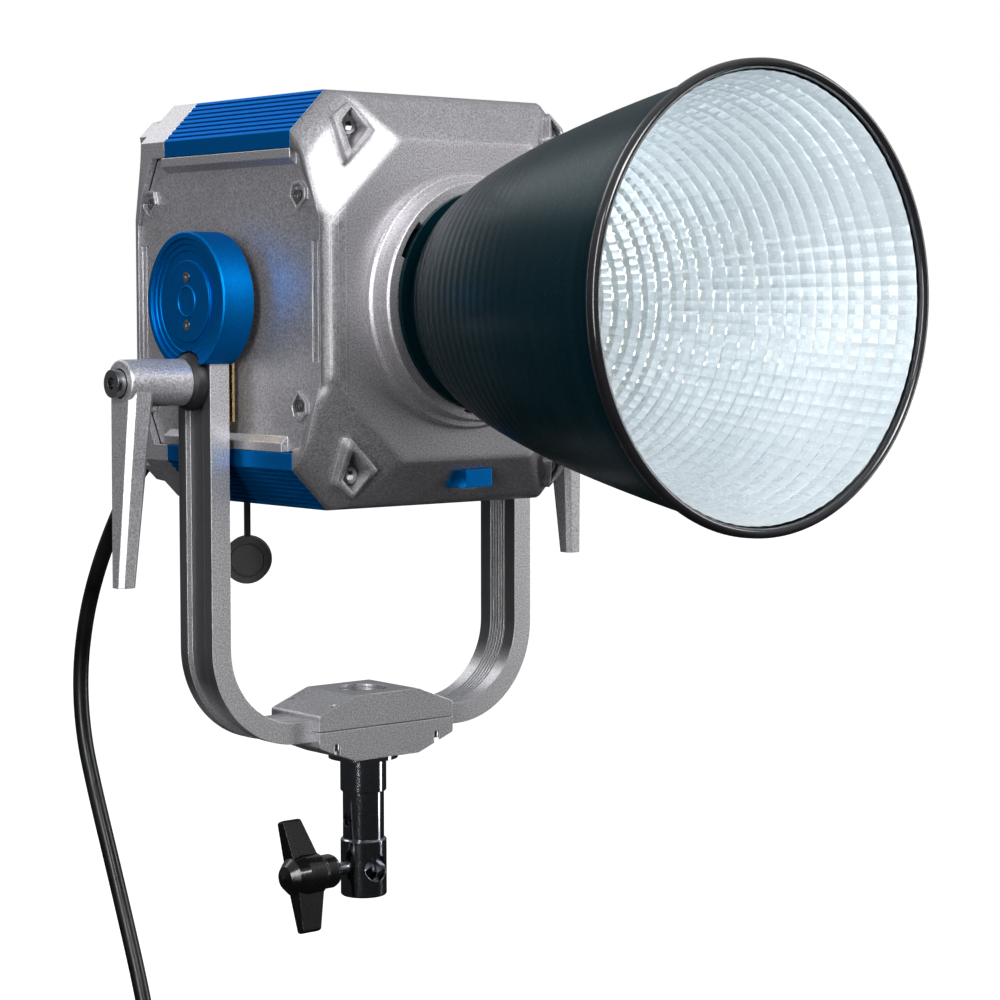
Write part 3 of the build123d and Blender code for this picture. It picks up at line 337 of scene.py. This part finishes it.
def ease(s):
    """0 to 1 with a level start and end."""
    s = max(0.0, min(1.0, s))
    return s * s * (3 - 2 * s)


def coil_point(turns):
    """Four turns side by side, then three back over them."""
    radius = COIL_R + LAYER * ease((turns - 3.75) / 0.5)
    x = -COIL_HALF + PITCH * min(turns, 4.0)
    if turns > BACK:
        x = COIL_HALF - 0.0106 * min(1.0, (turns - BACK) / 0.85)
    if turns > 5:
        x = 0.0120 - PITCH * (turns - 5)
    radius /= math.cos(math.pi / COIL_STEPS)
    angle = 2 * math.pi * turns
    return (COIL_X + x, COIL_Y + radius * math.cos(angle), COIL_Z - radius * math.sin(angle))


def centreline(name, points):
    """NURBS curve through the given control points."""
    curve = bpy.data.curves.new(name, "CURVE")
    curve.dimensions = "3D"
    curve.resolution_u = 8
    spline = curve.splines.new("NURBS")
    spline.points.add(len(points) - 1)
    for point, place in zip(spline.points, points):
        point.co = (*place, 1.0)
    spline.order_u = 3
    spline.use_endpoint_u = True
    return curve


def curve_points(curve):
    """Points along the curve, as Blender evaluates it."""
    holder = bpy.data.objects.new("path", curve)
    bpy.context.scene.collection.objects.link(holder)
    mesh = bpy.data.meshes.new_from_object(holder)
    places = [v.co.copy() for v in mesh.vertices]
    bpy.data.objects.remove(holder)
    bpy.data.meshes.remove(mesh)
    return places


def tube(name, path, radius, material, sides=16):
    """Round tube along a path, with a frame that doesn't twist."""
    points = []
    tangents = [(path[min(i + 1, len(path) - 1)] - path[max(i - 1, 0)]).normalized()
                for i in range(len(path))]
    side = Vector((1, 0, 0))
    for place, tangent in zip(path, tangents):
        side = (side - tangent * side.dot(tangent)).normalized()
        up = tangent.cross(side)
        for k in range(sides):
            a = 2 * math.pi * k / sides
            points.append(place + radius * (math.cos(a) * side + math.sin(a) * up))
    faces = strips(len(path), sides)
    faces.append(tuple(range(sides - 1, -1, -1)))
    faces.append(tuple((len(path) - 1) * sides + k for k in range(sides)))
    return add_mesh(name, points, faces, [material])


def cable_material():
    """Black jacket, a little uneven in its shine."""
    m = Nodes("cable_jacket")
    fine = m.noise(700.0, 3.0, 0.6)
    clouds = m.noise(35.0, 4.0)
    tone = m.mix(m.ramp(clouds, 0.35, 0.7, 0.0, 1.0),
                 (0.003, 0.003, 0.0035), (0.009, 0.009, 0.010))
    m.link(tone, m.shader.inputs["Base Color"])
    m.link(m.ramp(clouds, 0.3, 0.7, 0.24, 0.36), m.shader.inputs["Roughness"])
    m.link(m.bump(fine, 0.3, 0.00004), m.shader.inputs["Normal"])
    return m.material


route = [(CABLE_X, y, z) for y, z in ROUTE]
turns = [coil_point(k / COIL_STEPS) for k in range(COIL_TURNS * COIL_STEPS + 1)]
end_x, end_y = turns[-1][0], COIL_Y + COIL_R + LAYER
tail = [(end_x, end_y, COIL_Z - 0.020), (end_x, end_y, COIL_Z - 0.041)]
cable_path = curve_points(centreline("cable_line", route + turns + tail))
cable = tube("head_cable", cable_path, CABLE_D / 2, cable_material())
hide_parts("power_cable", "cable_coil")
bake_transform(cable)


# ---- reflector ----------------------------------------------------------------------------------
BELL = [(-0.122, 0.0560), (-0.130, 0.0625), (-0.145, 0.0690), (-0.160, 0.0757), (-0.180, 0.0822),
        (-0.200, 0.0882), (-0.225, 0.0948), (-0.250, 0.1006), (-0.275, 0.1058), (-0.300, 0.1106),
        (-0.320, 0.1142), (-0.338, 0.1172)]
RINGS_OUT = 26
RINGS_IN = 23
FACETS = 90             # in each ring inside
RING_ROWS = (0.0, 0.12, 0.5, 0.88)      # rows of points across one ring inside
NECK_Y, MOUTH_Y = -0.1228, -0.3385      # ends of the outside
SIDES = 180             # of the outside and the bead
SLICES = 260            # along the outside
STEP = 0.00100          # height of the first outside ring
WALL = 0.0016
CROWN = 0.0026          # four times the height of a ring's crown
SEAM = 0.00030          # depth of the crease between facets
LEAN = 0.00007          # how much one facet stands out from the next


def bell_radius(y):
    """Outer radius of the bell at y, straight between the listed points."""
    for (y0, r0), (y1, r1) in zip(BELL, BELL[1:]):
        if y >= y1:
            return r0 + (r1 - r0) * (y - y0) / (y1 - y0)
    return BELL[-1][1]


def smooth_radius(y):
    """The same with the corners averaged away."""
    return sum(bell_radius(y + d) for d in (-0.012, -0.006, 0.0, 0.006, 0.012)) / 5


def lathe(rows, sides, shape=None):
    """Points and faces of rows (radius, y) turned about the beam axis."""
    points = []
    for i, (radius, y) in enumerate(rows):
        for k in range(sides):
            a = 2 * math.pi * k / sides
            r = radius + (shape(i, k) if shape else 0.0)
            points.append((r * math.cos(a), y, BEAM_Z + r * math.sin(a)))
    return points, strips(len(rows), sides)


def teal_material():
    """Dark teal lacquer with the spinning marks of the shell under it."""
    m = Nodes("teal_lacquer")
    fine = m.noise(900.0, 2.0, 0.6)
    lines = m.noise(1.0, 3.0, 0.6, (6, 260, 6))
    tone = m.mix(m.ramp(lines, 0.35, 0.65, 0.0, 1.0),
                 (0.0008, 0.0095, 0.0135), (0.0014, 0.0155, 0.0215))
    m.link(tone, m.shader.inputs["Base Color"])
    m.link(m.ramp(fine, 0.3, 0.7, 0.26, 0.36), m.shader.inputs["Roughness"])
    m.shader.inputs["Specular IOR Level"].default_value = 0.10
    m.shader.inputs["Specular Tint"].default_value = (0.15, 0.85, 1.0, 1)
    m.link(m.bump(lines, 0.12, 0.00008, m.bump(fine, 0.3, 0.00003)), m.shader.inputs["Normal"])
    return m.material


def mirror_material():
    """Bright aluminium with a fine grain."""
    m = Nodes("bright_aluminium")
    fine = m.noise(1300.0, 3.0, 0.7)
    clouds = m.noise(45.0, 3.0)
    tone = m.mix(m.ramp(clouds, 0.3, 0.7, 0.0, 1.0), (0.86, 0.91, 0.94), (0.93, 0.97, 0.99))
    m.link(tone, m.shader.inputs["Base Color"])
    m.shader.inputs["Metallic"].default_value = 0.72
    m.link(m.ramp(fine, 0.3, 0.7, 0.20, 0.28), m.shader.inputs["Roughness"])
    m.link(m.bump(fine, 0.2, 0.00003), m.shader.inputs["Normal"])
    return m.material


def reflector():
    """The bell as one shell: lacquered outside, rolled bead and faceted inside."""
    teal = teal_material()
    bright = mirror_material()
    # dark bead whose light grey edge tone is a painted highlight
    rim = moulded("rim_bead_painted_highlight", (0.01, 0.01, 0.012), (0.5, 0.5, 0.5), 0.18, coat=0.5)
    # outside: shallow steps near the neck that fade towards the mouth
    outside = [(0.0540, -0.1222), (0.0560, -0.1222)]
    for i in range(SLICES + 1):
        y = NECK_Y + (MOUTH_Y - NECK_Y) * i / SLICES
        ring = (i / SLICES) * RINGS_OUT
        fade = STEP * max(0.0, 1 - 1.5 * i / SLICES)
        outside.append((smooth_radius(y) + fade * (0.5 - abs(ring % 1.0 - 0.5)), y))
    # rolled bead at the mouth
    bead = [(smooth_radius(MOUTH_Y), MOUTH_Y), (0.1205, -0.3402), (0.1216, -0.3428),
            (0.1215, -0.3455), (0.1203, -0.3472), (0.1188, -0.3475), (0.1172, -0.3468),
            (0.1164, -0.3450), (0.1166, -0.3430)]
    # inside: crowned rings of flat facets, with a crease where one ring meets the next
    inner_start, inner_end = -0.3430, -0.1240
    cuts = [inner_start + (inner_end - inner_start) * (i / RINGS_IN) ** 0.92
            for i in range(RINGS_IN + 1)]
    inside = []
    for y0, y1 in zip(cuts, cuts[1:]):
        for s in RING_ROWS:
            y = y0 + (y1 - y0) * s
            inside.append((smooth_radius(y) - WALL - CROWN * s * (1 - s), y))

    def facet(i, k):
        """Creases between facets, three columns of points to a facet, and each facet's lean."""
        seam = SEAM if k % 3 == 0 else 0.0
        return seam + LEAN * math.sin(7.3 * (i // len(RING_ROWS)) + 3.9 * (k // 3))

    inner_points, inner_faces = lathe(inside, 3 * FACETS, facet)
    inner_faces = [tuple(reversed(f)) for f in inner_faces]
    all_points, all_faces, indices = [], [], []
    for index, (points, faces) in enumerate((lathe(outside, SIDES), lathe(bead, SIDES),
                                             (inner_points, inner_faces))):
        base = len(all_points)
        all_points += points
        all_faces += [tuple(v + base for v in f) for f in faces]
        indices += [index] * len(faces)
    shell = add_mesh("reflector_shell", all_points, all_faces, [teal, rim, bright], indices)
    shell.data.polygons.foreach_set("use_smooth", [index != 2 for index in indices])
    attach(shell, "reflector")
    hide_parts("reflector_bell")


reflector()
nodes["reflector_collar"].data.materials[0] = bpy.data.materials["teal_lacquer"]


def soft_spring(name, body):
    """Stands for a CAD spring: a copy of it that rides with the given body."""
    coil = nodes[name]
    mesh = coil.data.copy()
    mesh.transform(coil.matrix_world)
    piece = bpy.data.objects.new(name + "_wire", mesh)
    bpy.context.scene.collection.objects.link(piece)
    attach(piece, body)
    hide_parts(name)
    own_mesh(piece)


bpy.context.view_layer.update()
soft_spring("lever_spring_left", "clamp_hub_left")
soft_spring("lever_spring_right", "clamp_hub_right")
soft_spring("latch_spring", "head")


# ---- studio -------------------------------------------------------------------------------------
FLOOR_HALF, FLOOR_Z = 30, -0.85


def floor_material():
    """Pale paper that is bright enough to show no horizon."""
    m = Nodes("floor_paper")
    m.link(m.mix(m.noise(3.0, 2.0), (0.90, 0.90, 0.90), (0.93, 0.93, 0.93)),
           m.shader.inputs["Base Color"])
    m.shader.inputs["Roughness"].default_value = 0.9
    m.shader.inputs["Emission Color"].default_value = (1, 1, 1, 1)
    m.shader.inputs["Emission Strength"].default_value = 0.75
    return m.material


corners = [(-FLOOR_HALF, -FLOOR_HALF, FLOOR_Z), (FLOOR_HALF, -FLOOR_HALF, FLOOR_Z),
           (FLOOR_HALF, FLOOR_HALF, FLOOR_Z), (-FLOOR_HALF, FLOOR_HALF, FLOOR_Z)]
floor = add_mesh("floor", corners, [(0, 1, 2, 3)], [floor_material()], smooth=False)
floor.visible_glossy = False
floor.visible_diffuse = False


def area_light(name, place, target, size, power):
    data = bpy.data.lights.new(name, "AREA")
    data.shape = "RECTANGLE"
    data.size, data.size_y = size
    data.energy = power
    light = bpy.data.objects.new(name, data)
    bpy.context.scene.collection.objects.link(light)
    light.location = place
    light.rotation_euler = (Vector(target) - Vector(place)).to_track_quat("-Z", "Y").to_euler()


area_light("key", (-0.3, -2.3, 1.7), (0, -0.1, 0.30), (1.3, 0.9), 60)
area_light("left", (-2.3, -1.3, 0.8), (0, 0.0, 0.25), (0.6, 2.2), 43)
area_light("back", (-0.3, 2.2, 1.9), (0, 0, 0.4), (1.6, 0.8), 8)
area_light("right", (2.2, -1.2, 0.6), (0.1, -0.1, 0.25), (0.5, 2.2), 23)

# white where the camera sees it, and a soft light that is stronger from above
world = bpy.data.worlds.new("studio")
world.use_nodes = True
bpy.context.scene.world = world
tree = world.node_tree
seen = tree.nodes["Background"]
seen.inputs["Color"].default_value = (1, 1, 1, 1)
seen.inputs["Strength"].default_value = 1.0
soft = tree.nodes.new("ShaderNodeBackground")
soft.inputs["Color"].default_value = (0.93, 0.96, 1.0, 1)
place = tree.nodes.new("ShaderNodeTexCoord")
split = tree.nodes.new("ShaderNodeSeparateXYZ")
height = tree.nodes.new("ShaderNodeMapRange")
for name, value in (("From Min", -0.2), ("From Max", 0.8), ("To Min", 0.02), ("To Max", 0.5)):
    height.inputs[name].default_value = value
tree.links.new(place.outputs["Generated"], split.inputs[0])
tree.links.new(split.outputs["Z"], height.inputs["Value"])
tree.links.new(height.outputs["Result"], soft.inputs["Strength"])
ray = tree.nodes.new("ShaderNodeLightPath")
pick = tree.nodes.new("ShaderNodeMixShader")
tree.links.new(ray.outputs["Is Camera Ray"], pick.inputs["Fac"])
tree.links.new(soft.outputs["Background"], pick.inputs[1])
tree.links.new(seen.outputs["Background"], pick.inputs[2])
tree.links.new(pick.outputs["Shader"], tree.nodes["World Output"].inputs["Surface"])
bpy.context.scene.view_settings.view_transform = "Standard"
